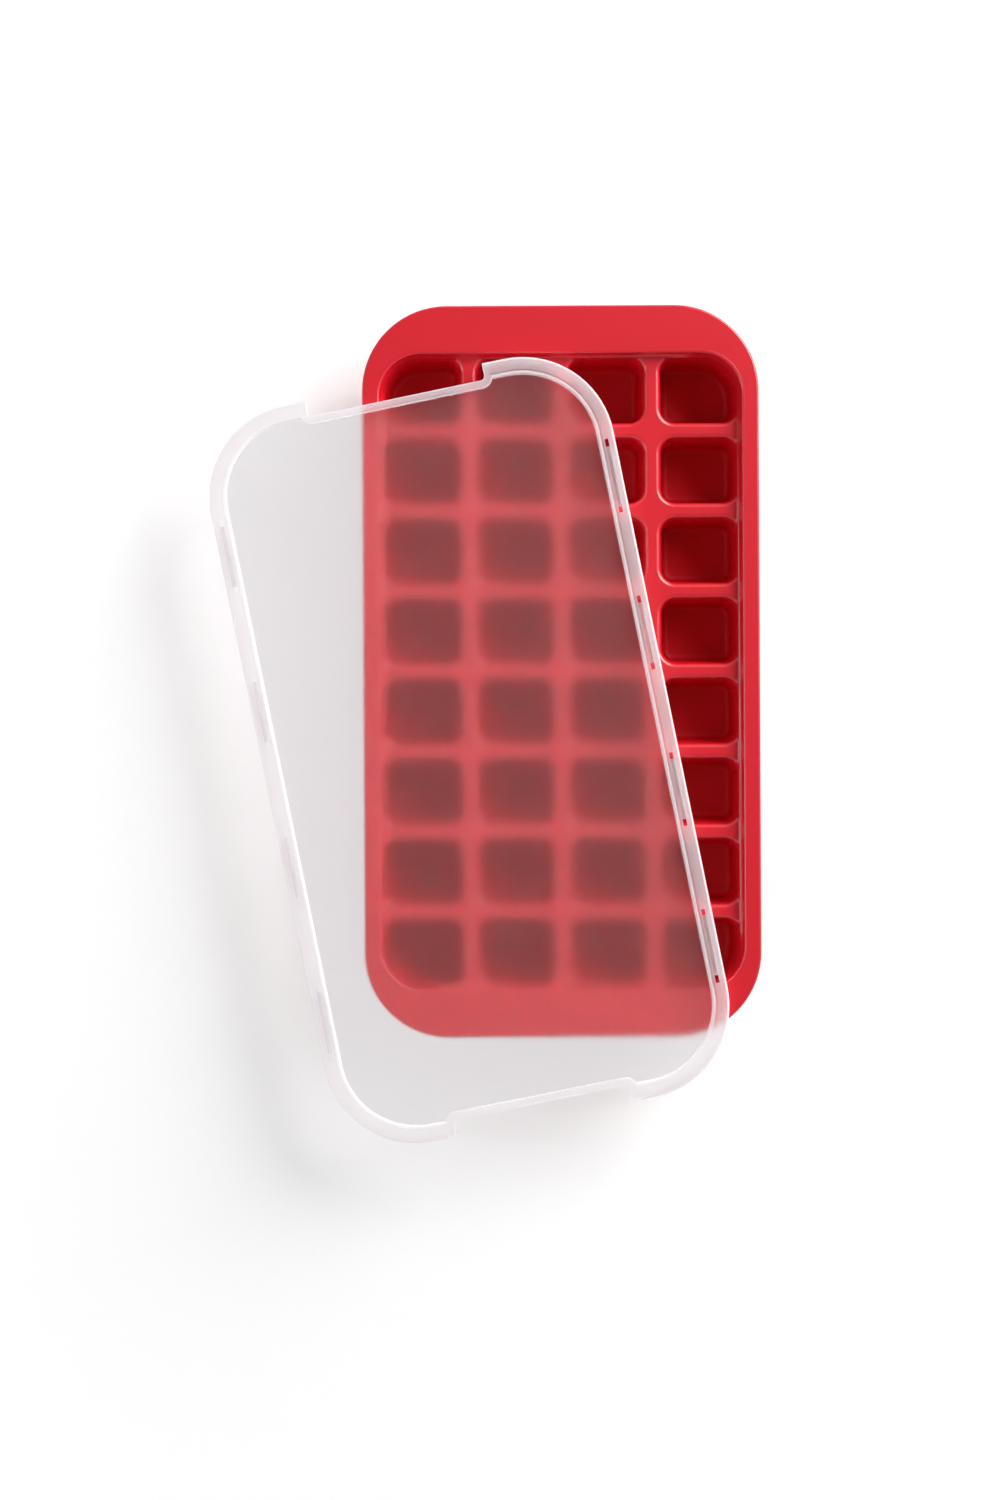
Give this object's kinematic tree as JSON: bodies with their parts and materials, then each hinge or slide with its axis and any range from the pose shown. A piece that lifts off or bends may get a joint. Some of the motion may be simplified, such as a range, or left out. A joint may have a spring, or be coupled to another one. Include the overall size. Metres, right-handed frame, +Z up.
{
  "type": "ice cube tray",
  "caption": "Silicone ice cube tray with a wide flange, a shallow basin over rows of square cells, and a loose frosted plastic lid lying askew on top.",
  "frame": {"origin": "middle of the tray, on the surface it stands on", "axes": "+X across the tray, +Y along it towards the end that the picture shows at the top, +Z up"},
  "size_m": [0.25, 0.3803, 0.048],
  "materials": {
    "silicone": "satin red silicone",
    "frosted_plastic": "frosted translucent plastic"
  },
  "bodies": {
    "root": {"tray": "silicone", "lid": "frosted_plastic"}
  },
  "joints": []
}
